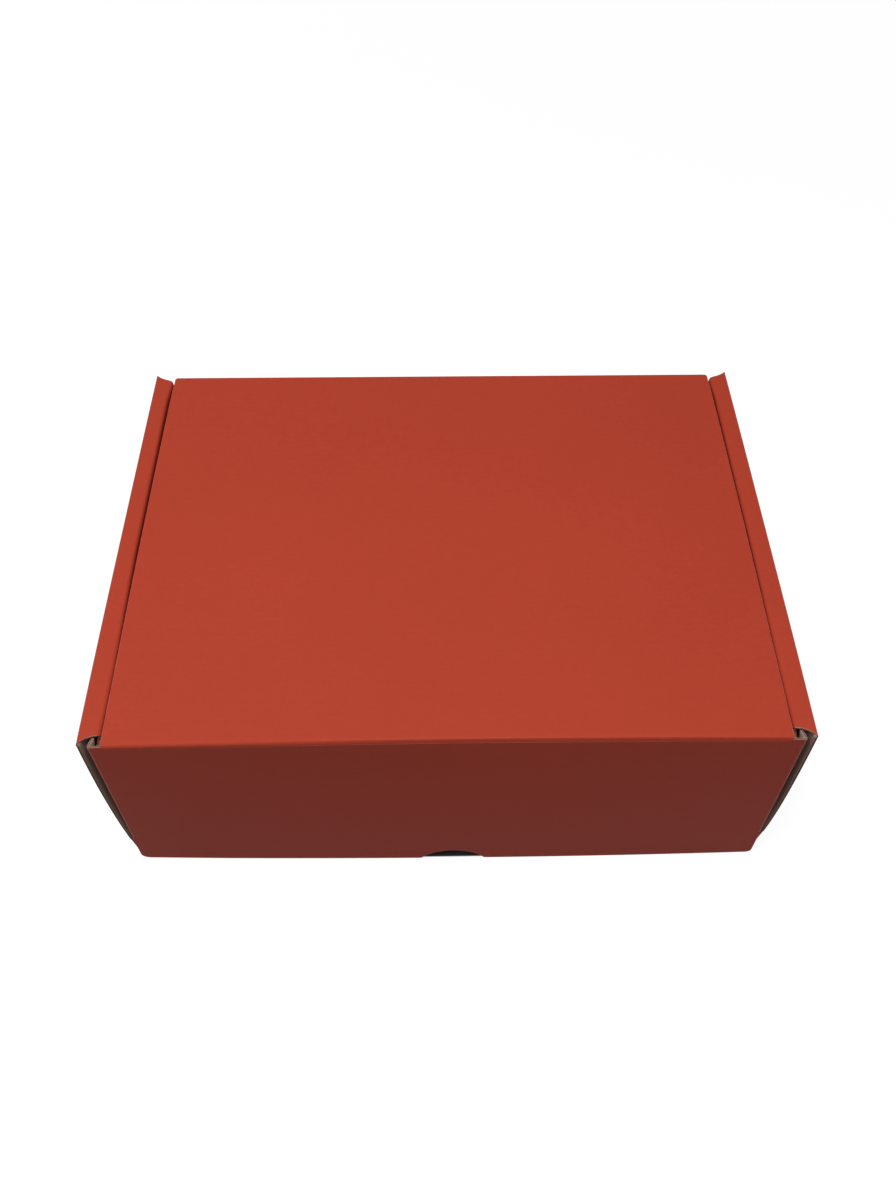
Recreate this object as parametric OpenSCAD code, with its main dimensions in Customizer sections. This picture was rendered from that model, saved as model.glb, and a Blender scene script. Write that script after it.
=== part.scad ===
// Folding box of corrugated board, closed and standing on its base.
// One die-cut blank folds into it: the lid hinges on the back wall, the front flap hangs
// outside the front wall, and each side wall rolls over at the top and locks in the base.
// Its front faces -Y, its right side +X, and z is 0 on the underside of the base.

/* [Inside] */
// Clear width between the two inner side walls
inside_w = 291; // [220:1:360]
// Clear depth between the front wall and the back wall
inside_d = 225; // [160:1:300]
// Clear height between the base and the closed lid
inside_h = 106; // [75:1:140]

/* [Board] */
// Thickness of the corrugated board
board_t = 1.5; // [1.2:0.1:1.8]
// Radius of a crease, at the middle of the board
crease_r = 1.2; // [1:0.1:1.5]
// Gap between panels that move past each other
slip = 0.3; // [0.25:0.05:0.4]

/* [Side walls] */
// How far a side wall leans out from the base to its top
wall_lean = 4.8; // [4:0.1:6]
// How far a side wall bows out at half its height
wall_bow = 1.7; // [1.2:0.1:2.5]
// Room between a side wall and the ears inside it, at the base
wall_room = 0.25; // [0.2:0.05:0.5]
// How far the side walls run past the front wall
wall_front = 0.5; // [0.3:0.1:0.8]
// How far the side walls run past the back wall
wall_rear = 0.9; // [0.5:0.1:1.2]
// How far the roll-over stands above the lid at its outer crease
roll_rise = 0.75; // [0.5:0.05:1.2]
// Slope of the roll-over, down towards the lid, in degrees
roll_tilt = 5; // [2:1:8]
// Radius of the roll-over's inner crease, at the middle of the board
roll_r = 2; // [1.6:0.1:2.4]
// How far the front end of the roll-over is cut back at its inner crease
roll_cut_front = 4.9; // [4.4:0.1:6]
// How far the rear end of the roll-over is cut back at its inner crease
roll_cut_rear = 4.1; // [3.6:0.1:6]
// Cut off the upright edges of a side wall at the base, clear of the front flap
relief_d = 1; // [0.9:0.1:1.4]
// Height over which that cut runs out
relief_h = 16; // [12:0.5:24]

/* [Locks] */
// Width of each tab that locks an inner side wall in the base
tab_w = 36; // [24:1:50]
// Distance between the middles of the two tabs of a wall
tab_pitch = 116; // [90:1:140]
// Gap round a tab in its slot
tab_gap = 0.15; // [0.1:0.05:0.25]
// Distance that a tab stops short of the underside of the base
tab_short = 0.3; // [0.2:0.1:0.6]
// Slant of a tab's two ends
tab_slant = 2; // [1:0.5:4]

/* [Ears of the front and back walls] */
// Room between the free ends of the front ear and the back ear of a side wall
ear_gap = 32; // [20:1:60]
// Height of the ear's lower edge above the underside of the base
ear_lift = 3.2; // [3:0.1:5]
// Corner cut at the free end of an ear
ear_corner = 12; // [6:1:20]

/* [Lid] */
// Depth of the dust flaps that hang from the sides of the lid
dust_h = 45; // [25:1:60]
// Distance from the front flap's face to the front end of a dust flap
dust_front = 5.2; // [5:0.1:9]
// Distance from the back wall's face to the rear end of a dust flap
dust_rear = 6; // [5:0.1:12]
// Taper of the two ends of a dust flap, in degrees
dust_taper = 15; // [12:1:25]
// Corner radius of a dust flap
dust_corner_r = 6; // [3:0.5:10]
// Corner cut at the lid's rear corners
lid_corner = 1.2; // [0.8:0.1:2]

/* [Front flap] */
// Height of the front flap's lower edge above the table
flap_lift = 1; // [0.8:0.1:3]
// How far the middle of the flap's lower edge bows forward
flap_bow = 2; // [1:0.1:3]
// Radius of the flap's lower corners
flap_corner_r = 4; // [2:0.5:8]
// Width of the thumb notch in the flap's lower edge
notch_w = 31; // [24:1:40]
// Height of the thumb notch
notch_h = 5.2; // [4.8:0.1:8]
// Distance of the notch to the right of the middle
notch_shift = 2.5; // [0:0.1:6]
// How far the foot of a flap ear stays above where the side wall gives it room
flap_ear_foot = 4; // [3:0.5:10]
// Corner cut at the lower end of a flap ear
flap_ear_corner = 5; // [3:0.5:8]
// Gap between a flap ear and the end of the roll-over behind it
flap_ear_gap = 0.9; // [0.8:0.1:1.4]

/* [Hidden] */

red = [0.68, 0.25, 0.2];
kraft = [0.55, 0.45, 0.36];

// Count of straight steps in one fold, up one side wall, and across and down the flap
fold_steps = 8;
wall_steps = 12;
flap_steps = 20;
flap_rows = 4;
cut_steps = 8;
arc_steps = 10;
// Sharpness of the curve in which the ends of a roll-over are cut
cut_curve = 1.45;
// Sides of the round hinge edges
round_fn = 48;

// Distance from a board's middle to its face, and from a fold's edge to the flat of its panel
half_t = board_t / 2;
fold_out = crease_r + half_t;

// Half widths of the layers of a side, from the inside out
inner_x = inside_w / 2;
lid_x = inner_x - slip;
ear_x = inner_x + 2 * board_t;
flap_x = ear_x + slip + board_t;
base_x = ear_x + wall_room + board_t;

// Depths, from the front of the bowed flap to the rear edges of the side walls
depth = flap_bow + board_t + slip + inside_d + 2 * board_t + wall_rear;
flap_y = flap_bow - depth / 2;
front_y = flap_y + board_t + slip;
back_y = front_y + inside_d + 2 * board_t;
side_front = front_y - wall_front;
side_rear = back_y + wall_rear;
ear_l = (back_y - front_y - ear_gap) / 2 - fold_out;

// Heights
lid_z = 2 * board_t + inside_h;
rim_z = lid_z - board_t - slip;
wall_h = lid_z + roll_rise - fold_out;

// The two creases that the lid and the front flap turn on lie in the middle of the board
hinge_z = lid_z - half_t;
lid_hinge_y = back_y - half_t;
flap_hinge_y = flap_y + half_t;

// The creases of the dust flaps lie on the inside of the fold
dust_x = lid_x - board_t;
dust_z = lid_z - board_t;
dust_y0 = flap_y + dust_front;
dust_y1 = back_y - dust_rear;

// Middle line of the right side wall: its distance from the middle of the box at height z,
// and the angle of its outward normal there
function lean_slope(z) = (wall_lean + 4 * wall_bow * (1 - 2 * z / wall_h)) / wall_h;
function wall_mid(z) = base_x - half_t + wall_lean * z / wall_h
    + 4 * wall_bow * z / wall_h * (1 - z / wall_h);
function wall_angle(z) = -atan(lean_slope(z));

// Share of the wall's height at which its inner face first clears the ears of the flap
need_room = flap_x + slip - (base_x - board_t);
lean_sum = wall_lean + 4 * wall_bow;
room_share = (lean_sum - sqrt(lean_sum * lean_sum - 16 * wall_bow * need_room)) / (8 * wall_bow);
room_z = wall_h * room_share;

// Bottom fold, top fold and inner fold of the side wall: centre and end angles
bottom_angle = wall_angle(0);
bottom_z = half_t + crease_r * (1 + sin(bottom_angle));
bottom_x = wall_mid(bottom_z) - crease_r * cos(bottom_angle);
top_angle = wall_angle(wall_h);
top_x = wall_mid(wall_h) - crease_r * cos(top_angle);
top_z = wall_h - crease_r * sin(top_angle);
roll_angle = 90 + roll_tilt;
roll_x = inner_x + half_t + roll_r;
roll_z = top_z + (crease_r - roll_r + (roll_x - top_x) * sin(roll_tilt)) / cos(roll_tilt);
rim_x = base_x + wall_lean;
side_x = rim_x + wall_bow;

// A fold round [cx, cz] as points of its middle line, each with the angle of its normal
function fold(cx, cz, r, a0, a1) = [for (i = [0:fold_steps])
    let (a = a0 + (a1 - a0) * i / fold_steps) [cx + r * cos(a), cz + r * sin(a), a]];

// Points of an arc
function arc(cx, cy, r, a0, a1) = [for (i = [0:arc_steps])
    let (a = a0 + (a1 - a0) * i / arc_steps) [cx + r * cos(a), cy + r * sin(a)]];

// One face of the board round a middle line, and the whole section of the board
function face(line, d) = [for (p = line) [p[0] + d * cos(p[2]), p[1] + d * sin(p[2])]];
function back_to_front(list) = [for (i = [len(list) - 1:-1:0]) list[i]];
function board(line) = concat(face(line, half_t), back_to_front(face(line, -half_t)));

// Sections drawn in x and z, in y and z, or in x and y, made solid along the third axis
module along_y(y0, y1) translate([0, y1, 0]) rotate([90, 0, 0]) linear_extrude(y1 - y0) children();
module along_x(x0, x1) translate([x0, 0, 0]) rotate([90, 0, 90]) linear_extrude(x1 - x0) children();
module along_z(z0, z1) translate([0, 0, z0]) linear_extrude(z1 - z0) children();
module left() mirror([1, 0, 0]) children();

// Base with the slots that hold the tabs of the inner side walls
module base() color(kraft) along_z(0, board_t) difference() {
    translate([-bottom_x, front_y + fold_out]) square([2 * bottom_x, back_y - front_y - 2 * fold_out]);
    for (side = [-1, 1], end = [-1, 1])
        translate([side * (inner_x + half_t), tab_y(end)])
            square([board_t + 2 * tab_gap, tab_w + 2 * tab_gap], center = true);
}

// Middle of the two tabs of a wall
function tab_y(end) = (front_y + back_y + end * tab_pitch) / 2;

// Front or back wall with the fold that joins it to the base, as a section in y and z
function upright(y, turn) = concat(
    fold(y + turn * fold_out, fold_out, crease_r, -90, -90 - turn * 90),
    [[y + turn * half_t, rim_z, -90 - turn * 90]]);
wall_x = ear_x - fold_out;
module front_wall() color(kraft) along_x(-wall_x, wall_x) polygon(board(upright(front_y, 1)));
module back_wall() color(red) along_x(-wall_x, wall_x) polygon(board(upright(back_y, -1)));

// Ear of the front wall or, with turn -1, of the back wall: its fold and its flat panel
module wall_ear(y, turn) {
    top = roll_z - slip;
    y0 = y + turn * fold_out;
    y1 = y0 + turn * ear_l;
    along_z(ear_lift, top) polygon(board(fold(wall_x, y0, crease_r, 0, -turn * 90)));
    along_x(ear_x - board_t, ear_x) polygon([
        [y0, ear_lift], [y1 - turn * ear_corner, ear_lift], [y1, ear_lift + ear_corner],
        [y1, top - ear_corner], [y1 - turn * ear_corner, top], [y0, top]]);
}
module front_wall_ear_right() color(kraft) wall_ear(front_y, 1);
module front_wall_ear_left() color(kraft) left() wall_ear(front_y, 1);
module back_wall_ear_right() color(kraft) wall_ear(back_y, -1);
module back_wall_ear_left() color(kraft) left() wall_ear(back_y, -1);

// Outer layer of a side wall, bowed out between its bottom fold and its top fold
module side_wall() intersection() {
    along_y(side_front, side_rear) polygon(board(concat(
        fold(bottom_x, fold_out, crease_r, -90, bottom_angle),
        [for (i = [1:wall_steps]) let (z = bottom_z + (wall_h - bottom_z) * i / wall_steps)
            [wall_mid(z), z, wall_angle(z)]])));
    along_x(0, side_x) polygon([
        [side_front + relief_d, 0], [side_rear - relief_d, 0],
        [side_rear - relief_d, room_z + slip], [side_rear, room_z + slip + relief_h],
        [side_rear, lid_z], [side_front, lid_z],
        [side_front, room_z + slip + relief_h], [side_front + relief_d, room_z + slip]]);
}
module side_wall_right() color(red) side_wall();
module side_wall_left() color(red) left() side_wall();

// Roll-over strip on top of a side wall, with both of its folds and its curved ends
function cut_back(share) = 1 - pow(1 - share, cut_curve);
function cut_end(y, d) = [for (i = [0:cut_steps])
    [rim_x - (rim_x - inner_x) * i / cut_steps, y + d * cut_back(i / cut_steps)]];
module roll_over() intersection() {
    along_y(side_front, side_rear) polygon(board(concat(
        fold(top_x, top_z, crease_r, top_angle, roll_angle),
        fold(roll_x, roll_z, roll_r, roll_angle, 180))));
    along_z(0, lid_z + 2 * roll_rise) polygon(concat(
        [[side_x, side_front]], cut_end(side_front, roll_cut_front),
        back_to_front(cut_end(side_rear, -roll_cut_rear)), [[side_x, side_rear]]));
}
module roll_over_right() color(red) roll_over();
module roll_over_left() color(red) left() roll_over();

// Inner layer of a side wall, with the two tabs that stand in the base
module inner_side_wall() along_x(inner_x, inner_x + board_t) {
    y0 = side_front + roll_cut_front;
    y1 = side_rear - roll_cut_rear;
    polygon([[y0, roll_z], [y0, 2 * board_t], [y0 + board_t, board_t],
        [y1 - board_t, board_t], [y1, 2 * board_t], [y1, roll_z]]);
    for (end = [-1, 1]) translate([tab_y(end), board_t]) polygon([
        [-tab_w / 2, 0], [tab_slant - tab_w / 2, tab_short - board_t],
        [tab_w / 2 - tab_slant, tab_short - board_t], [tab_w / 2, 0]]);
}
module inner_side_wall_right() color(red) inner_side_wall();
module inner_side_wall_left() color(red) left() inner_side_wall();

// Lid, round at the rear edge that it turns on and let in at the sides for the dust flaps
lid_front = flap_hinge_y + half_t + slip;
notch_in = dust_x - slip;
module lid() color(red) {
    along_z(dust_z, lid_z) polygon([for (side = [1, -1], p = side > 0 ? lid_edge : back_to_front(lid_edge))
        [side * p[0], p[1]]]);
    translate([lid_corner - lid_x, lid_hinge_y, hinge_z]) rotate([0, 90, 0])
        cylinder(r = half_t, h = 2 * (lid_x - lid_corner), $fn = round_fn);
}
lid_edge = [
    [lid_x, lid_front], [lid_x, dust_y0 - slip], [notch_in, dust_y0 - slip],
    [notch_in, dust_y1 + slip], [lid_x, dust_y1 + slip], [lid_x, lid_hinge_y - lid_corner],
    [lid_x - lid_corner, lid_hinge_y]];

// Dust flap of the right side: its quarter-round crease and its tapered panel
dust_low = lid_z - dust_h;
dust_in = dust_h * tan(dust_taper);
module dust_flap() intersection() {
    translate([dust_x, 0, dust_z]) along_y(dust_y0, dust_y1) {
        intersection() {
            circle(r = board_t, $fn = round_fn);
            square(board_t);
        }
        translate([0, dust_low - dust_z]) square([board_t, dust_z - dust_low]);
    }
    along_x(0, side_x) polygon(concat(
        [[dust_y0, lid_z], [dust_y0, dust_z]],
        arc(dust_y0 + dust_in + dust_corner_r, dust_low + dust_corner_r, dust_corner_r, 180 + dust_taper, 270),
        arc(dust_y1 - dust_in - dust_corner_r, dust_low + dust_corner_r, dust_corner_r, 270, 360 - dust_taper),
        [[dust_y1, dust_z], [dust_y1, lid_z]]));
}
module dust_flap_right() color(red) dust_flap();
module dust_flap_left() color(red) left() dust_flap();

// Outline of the front flap in x and z: round lower corners, thumb notch, and at each side
// the step above which the flap folds back into its ear
ear_foot_z = room_z + flap_ear_foot;
flat_x = flap_x - fold_out;
notch_r = (notch_w * notch_w / 4 + notch_h * notch_h) / (2 * notch_h);
notch_angle = asin(notch_w / 2 / notch_r);
flap_outline = concat(
    arc(-flap_x + flap_corner_r, flap_lift + flap_corner_r, flap_corner_r, 180, 270),
    arc(notch_shift, flap_lift + notch_h - notch_r, notch_r, 90 + notch_angle, 90 - notch_angle),
    arc(flap_x - flap_corner_r, flap_lift + flap_corner_r, flap_corner_r, 270, 360),
    [[flap_x, ear_foot_z], [flat_x, ear_foot_z], [flat_x, hinge_z],
     [-flat_x, hinge_z], [-flat_x, ear_foot_z], [-flap_x, ear_foot_z]]);

// How far the flap bows forward at a point of its face
function bow(x, z) = flap_bow * max(0, 1 - x * x / (flat_x * flat_x))
    * (hinge_z - z) / (hinge_z - flap_lift);

// Slab with the flap's bow, as wide and high as the flap
function slab_x(i) = flap_x * (2 * i / flap_steps - 1);
function slab_z(j) = flap_lift + (hinge_z - flap_lift) * j / flap_rows;
slab_row = flap_steps + 1;
slab_face = slab_row * (flap_rows + 1);
slab_points = [for (y = [flap_y, flap_y + board_t], j = [0:flap_rows], i = [0:flap_steps])
    [slab_x(i), y - bow(slab_x(i), slab_z(j)), slab_z(j)]];
function strip_faces(a, b, c, d) = [[a, b, c], [a, c, d]];
slab_faces = [
    for (j = [0:flap_rows - 1], i = [0:flap_steps - 1]) let (p = j * slab_row + i)
        each strip_faces(p, p + slab_row, p + slab_row + 1, p + 1),
    for (j = [0:flap_rows - 1], i = [0:flap_steps - 1]) let (p = slab_face + j * slab_row + i)
        each strip_faces(p, p + 1, p + slab_row + 1, p + slab_row),
    for (i = [0:flap_steps - 1]) let (q = flap_rows * slab_row + i)
        each concat(strip_faces(i, i + 1, slab_face + i + 1, slab_face + i),
            strip_faces(q, slab_face + q, slab_face + q + 1, q + 1)),
    for (j = [0:flap_rows - 1]) let (p = j * slab_row, q = p + flap_steps)
        each concat(strip_faces(p, slab_face + p, slab_face + p + slab_row, p + slab_row),
            strip_faces(q, q + slab_row, slab_face + q + slab_row, slab_face + q))];

// Front flap, bowed, with the round top edge that it turns on
module front_flap() color(red) {
    intersection() {
        polyhedron(slab_points, slab_faces);
        along_y(flap_y - 2 * flap_bow, front_y) polygon(flap_outline);
    }
    translate([-lid_x, flap_hinge_y, hinge_z]) rotate([0, 90, 0])
        cylinder(r = half_t, h = 2 * lid_x, $fn = round_fn);
}

// Ear of the front flap. Its rear edge is an arc round the lid's hinge, so that it passes
// the end of the roll-over when the lid swings up with the flap down.
ear_share = (rim_x - flap_x) / (rim_x - inner_x);
roll_end_y = side_front + roll_cut_front * cut_back(ear_share);
swing_r = lid_hinge_y - roll_end_y + flap_ear_gap;
function swing_y(z) = lid_hinge_y - sqrt(swing_r * swing_r - (hinge_z - z) * (hinge_z - z));
module flap_ear() {
    y0 = flap_y + fold_out;
    low = ear_foot_z + flap_ear_corner;
    along_z(ear_foot_z, hinge_z) polygon(board(fold(flat_x, y0, crease_r, 0, -90)));
    along_x(flap_x - board_t, flap_x) polygon(concat(
        [[y0, hinge_z], [y0, ear_foot_z], [swing_y(low) - flap_ear_corner, ear_foot_z]],
        [for (i = [0:arc_steps]) let (z = low + (hinge_z - low) * i / arc_steps) [swing_y(z), z]]));
}
module flap_ear_right() color(red) flap_ear();
module flap_ear_left() color(red) left() flap_ear();

base();
front_wall();
back_wall();
front_wall_ear_left();
front_wall_ear_right();
back_wall_ear_left();
back_wall_ear_right();
side_wall_left();
side_wall_right();
roll_over_left();
roll_over_right();
inner_side_wall_left();
inner_side_wall_right();
lid();
dust_flap_left();
dust_flap_right();
front_flap();
flap_ear_left();
flap_ear_right();
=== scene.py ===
import math
from bisect import bisect_right

import bpy
import numpy as np
from mathutils import Matrix, Vector, noise


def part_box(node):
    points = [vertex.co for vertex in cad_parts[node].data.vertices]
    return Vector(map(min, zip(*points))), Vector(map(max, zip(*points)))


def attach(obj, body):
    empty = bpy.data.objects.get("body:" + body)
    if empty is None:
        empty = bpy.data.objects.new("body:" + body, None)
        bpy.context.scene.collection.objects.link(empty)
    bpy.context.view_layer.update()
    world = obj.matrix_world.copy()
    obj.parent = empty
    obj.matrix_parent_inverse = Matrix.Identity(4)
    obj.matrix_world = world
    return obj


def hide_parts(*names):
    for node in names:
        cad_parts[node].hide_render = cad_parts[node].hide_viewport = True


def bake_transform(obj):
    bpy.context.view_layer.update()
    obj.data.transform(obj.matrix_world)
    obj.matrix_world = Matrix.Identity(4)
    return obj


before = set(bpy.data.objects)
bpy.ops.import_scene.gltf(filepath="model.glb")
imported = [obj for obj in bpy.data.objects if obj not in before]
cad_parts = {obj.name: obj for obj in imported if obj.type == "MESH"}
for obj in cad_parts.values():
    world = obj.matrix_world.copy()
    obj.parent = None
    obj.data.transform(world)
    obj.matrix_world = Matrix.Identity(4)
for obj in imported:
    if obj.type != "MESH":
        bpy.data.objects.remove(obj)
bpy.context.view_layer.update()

# The base is the bottom panel of the one sheet that the box is folded from. It is fine-flute
# board: two liners glued to fluted paper, red print on the outer liner, bare kraft inside.
# Four slots along its sides hold the tabs of the inner side walls.
BOARD = 0.0015
LINER = 0.0002
MEDIUM = 0.00017
FLUTE = 0.0033
FLUTE_STEPS = 8
FOLD_STEPS = 12
CREASE_R = 0.0012
FOLD_OUT = CREASE_R + BOARD / 2
EDGE_ROWS = (0.0003, 0.0010)
EDGE_CRUSH = 0.42
CRUSH_REACH = 0.0012
CRUSH_HELD = 0.3
ROW_STEP = 0.012
PRINT_RED = (0.435, 0.0515, 0.026, 1.0)
# Paler red that rubbed creases and frayed rims turn to; along folds it also serves as a painted
# highlight.
WORN_AND_HIGHLIGHT_RED = (0.60, 0.22, 0.165, 1.0)
KRAFT = (0.400, 0.285, 0.230, 1.0)
CUT_PAPER = (0.58, 0.34, 0.275, 1.0)
FLUTE_PAPER = (0.170, 0.115, 0.085, 1.0)
GRAIN_SHARE = 0.6
RIB_SHADE = 0.006
RIB_RELIEF, SPECK_RELIEF, GRAIN_RELIEF = 0.000012, 0.00002, 0.00003
# How near a crease the paper turns paler, from rubbing and a painted highlight.
CREASE_RUB_AND_HIGHLIGHT = (0.0006, 0.00005)
EDGE_FRAY = (0.00035, 0.0)
SHINE_RANGE = 0.12
RED_FACE, KRAFT_FACE, CUT_EDGE, FLUTED = range(4)
SHARP_ANGLE = 42
WHOLE = (-1, 1)
FAR = 1.0
ROW_MERGE = 0.00002
JOIN_NEAR = 0.000002
BASE_GRID = 0.02
SLOT_W = 0.0018
SLOT_L = 0.0363
TAB_MIDDLES = (-0.05655, 0.05945)
SLOT_X = 0.14625


def paper_node(tree, kind, plugs, **settings):
    """Adds one node to a paper's material, with values or other nodes' outputs plugged in."""
    made = tree.nodes.new(kind)
    for name, value in settings.items():
        setattr(made, name, value)
    for plug, value in plugs.items():
        if isinstance(value, bpy.types.NodeSocket):
            tree.links.new(value, made.inputs[plug])
        else:
            made.inputs[plug].default_value = value
    return made


def paper_sum(tree, kind, first, second):
    return paper_node(tree, "ShaderNodeMath", {0: first, 1: second}, operation=kind).outputs[0]


def paper_range(tree, source, start, end, at_start, at_end, **settings):
    """Maps the values from start to end onto others, and holds them beyond."""
    plugs = {"Value": source, 1: start, 2: end, 3: at_start, 4: at_end}
    return paper_node(tree, "ShaderNodeMapRange", plugs, **settings).outputs[0]


def paper_noise(tree, place, scale, detail, roughness):
    plugs = {"Vector": place, "Scale": scale, "Detail": detail, "Roughness": roughness}
    return paper_node(tree, "ShaderNodeTexNoise", plugs).outputs["Fac"]


def carried(tree, name):
    """A value that the points of a board carry, such as their distance from a cut edge."""
    return paper_node(tree, "ShaderNodeAttribute", {}, attribute_name=name).outputs["Fac"]


def paper(name, colour, worn_and_highlight, mottle, fibre, shine, wear_and_highlight):
    """Board paper: mottled and fibrous, ribbed by the flutes under it, paler at its frayed cut
    rims, and paler along its creases from rubbing and a painted highlight.
    """
    made = bpy.data.materials.new(name)
    made.use_nodes = True
    tree = made.node_tree
    tree.nodes.clear()
    place = tree.nodes.new("ShaderNodeTexCoord").outputs["Object"]
    clouds = paper_noise(tree, place, 11.0, 3.0, 0.55)
    specks = paper_noise(tree, place, 950.0, 3.0, 0.65)
    grain = paper_noise(tree, place, 260.0, 2.0, 0.6)
    waves = paper_sum(tree, "MULTIPLY", carried(tree, "across"), 2 * math.pi / FLUTE)
    ribs = paper_sum(tree, "SINE", waves, 0.0)

    shade = 1.0
    for source, middle, gain in ((clouds, 0.5, mottle), (specks, 0.5, fibre),
                                 (grain, 0.5, GRAIN_SHARE * fibre), (ribs, 0.0, RIB_SHADE)):
        swing = paper_sum(tree, "MULTIPLY", paper_sum(tree, "SUBTRACT", source, middle), gain)
        shade = paper_sum(tree, "ADD", swing, shade)
    tinted = paper_node(tree, "ShaderNodeVectorMath", {0: colour[:3], "Scale": shade},
                        operation="SCALE").outputs[0]

    # Creases turn paler, partly from rubbing and partly as a painted highlight along the fold; cut
    # rims turn paler from fraying.
    crease_rub_and_highlight = paper_range(tree, carried(tree, "crease"), *CREASE_RUB_AND_HIGHLIGHT, 0.0, 1.0,
                         interpolation_type="SMOOTHSTEP")
    frayed = paper_range(tree, carried(tree, "rim"), *EDGE_FRAY, 0.0, 1.0,
                         interpolation_type="SMOOTHSTEP")
    patchy = paper_range(tree, grain, 0.35, 0.65, 0.45, 1.0)
    edge = paper_sum(tree, "MAXIMUM", crease_rub_and_highlight, frayed)
    rub_and_highlight_mix = paper_sum(tree, "MULTIPLY", paper_sum(tree, "MULTIPLY", edge, patchy), wear_and_highlight)
    coat = paper_node(tree, "ShaderNodeMix", {0: rub_and_highlight_mix, 6: tinted, 7: worn_and_highlight},
                      data_type="RGBA").outputs[2]

    relief = paper_sum(tree, "ADD", paper_sum(tree, "MULTIPLY", ribs, RIB_RELIEF),
                       paper_sum(tree, "MULTIPLY", specks, SPECK_RELIEF))
    relief = paper_sum(tree, "ADD", relief, paper_sum(tree, "MULTIPLY", grain, GRAIN_RELIEF))
    bump = paper_node(tree, "ShaderNodeBump",
                      {"Height": relief, "Strength": 0.6, "Distance": 1.0}).outputs[0]
    matt = paper_range(tree, specks, 0.3, 0.7, shine, shine + SHINE_RANGE)
    surface = paper_node(tree, "ShaderNodeBsdfPrincipled",
                         {"Base Color": coat, "Roughness": matt, "Normal": bump,
                          "Specular IOR Level": 0.08})
    paper_node(tree, "ShaderNodeOutputMaterial", {"Surface": surface.outputs[0]})
    return made


red_print = paper("red_print", PRINT_RED, WORN_AND_HIGHLIGHT_RED, 0.10, 0.14, 0.46, 1.0)
kraft_liner = paper("kraft_liner", KRAFT, CUT_PAPER, 0.10, 0.34, 0.72, 0.4)
cut_liner = paper("cut_liner", CUT_PAPER, CUT_PAPER, 0.08, 0.40, 0.80, 0.0)
fluted_paper = paper("fluted_paper", FLUTE_PAPER, FLUTE_PAPER, 0.10, 0.35, 0.80, 0.0)


def stations(start, end, breaks, step):
    """Places across the flutes at which a board has a row of points, close at its edges."""
    rows = {start, end, *(b for b in breaks if start < b < end)}
    for gap in EDGE_ROWS:
        rows |= {start + gap, end - gap}
    count = max(1, round((end - start) / step))
    rows |= {start + (end - start) * i / count for i in range(count + 1)}
    kept = []
    for row in sorted(rows):
        if not kept or row - kept[-1] > ROW_MERGE or row in breaks:
            kept.append(row)
    return kept


def on_join(a, b, joins):
    """Whether a stretch of a panel's outline is where it runs on into the next panel."""
    return any(abs(a[axis] - at) < JOIN_NEAR and abs(b[axis] - at) < JOIN_NEAR
               and low <= (a[1 - axis] + b[1 - axis]) / 2 <= high for axis, at, low, high in joins)


def sheet_of_paper(stock, patches, folds, margins, lay, low, high, paints, creases, joins):
    """One paper of the board, between two offsets from the board's middle, with cut rims."""
    corners, faces = {}, []

    def corner(p, q):
        return corners.setdefault((round(p, 7), round(q, 7)), len(corners))

    for rows, spans in patches:
        for q0, q1 in zip(rows, rows[1:]):
            for ends0, ends1 in zip(spans(q0), spans(q1)):
                line = []
                for (a, b), q in ((ends0, q0), (ends1, q1)):
                    ps = [a, b, *folds, *(a + m for m in margins), *(b - m for m in margins)]
                    line.append([corner(p, q) for p in sorted(min(max(p, a), b) for p in ps)])
                for j in range(len(line[0]) - 1):
                    ring = []
                    for c in (line[0][j], line[0][j + 1], line[1][j + 1], line[1][j]):
                        if c not in ring:
                            ring.append(c)
                    if len(ring) > 2:
                        faces.append(ring)
    flat = np.array(list(corners), float)
    directed = [(r[i], r[(i + 1) % len(r)]) for r in faces for i in range(len(r))]
    twins = set(directed)
    rims = [(a, b) for a, b in directed if (b, a) not in twins]
    base, n = len(stock["points"]), len(flat)
    gap = np.full(n, FAR)
    for a, b in rims:
        s, d = flat[a], flat[b] - flat[a]
        if not on_join(flat[a], flat[b], joins):
            t = np.clip(((flat - s) @ d) / max(float(d @ d), 1e-18), 0, 1)
            gap = np.minimum(gap, np.hypot(*(flat - s - t[:, None] * d).T))
    laid = [lay(p, q) for p, q in flat]
    where = np.array([list(v[0]) for v in laid])
    facing = np.array([list(v[1]) for v in laid])
    thick = np.array([v[2] if len(v) > 2 else 1.0 for v in laid])
    crushed = 1 - EDGE_CRUSH * np.clip(1 - gap / CRUSH_REACH, 0, 1) ** 2
    held = CRUSH_HELD * BOARD
    lows = (held + (np.array([low(q) for q in flat[:, 1]]) * thick - held) * crushed)[:, None]
    highs = (held + (np.array([high(q) for q in flat[:, 1]]) * thick - held) * crushed)[:, None]
    stock["points"] += list(where + facing * highs) + list(where + facing * lows)
    ring = max(faces, key=len)
    normal = np.cross(where[ring[1]] - where[ring[0]], where[ring[2]] - where[ring[1]])
    turned = float(normal @ facing[ring[0]]) < 0

    def add(face, paint):
        stock["faces"].append([base + c for c in (reversed(face) if turned else face)])
        stock["paints"].append(paint)

    for face in faces:
        add(face, paints[0])
        add([n + c for c in reversed(face)], paints[1])
    for a, b in rims:
        add([n + a, n + b, b, a], paints[2])
    fold_gap = np.full(n, FAR)
    for c, kept in creases:
        fold_gap = np.minimum(fold_gap, np.abs(flat[:, 0] - c) + kept)
    for name, value in (("across", flat[:, 1]), ("rim", gap), ("crease", fold_gap)):
        stock[name] += list(value) * 2


def new_stock():
    return {name: [] for name in ("points", "faces", "paints", "across", "rim", "crease")}


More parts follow.
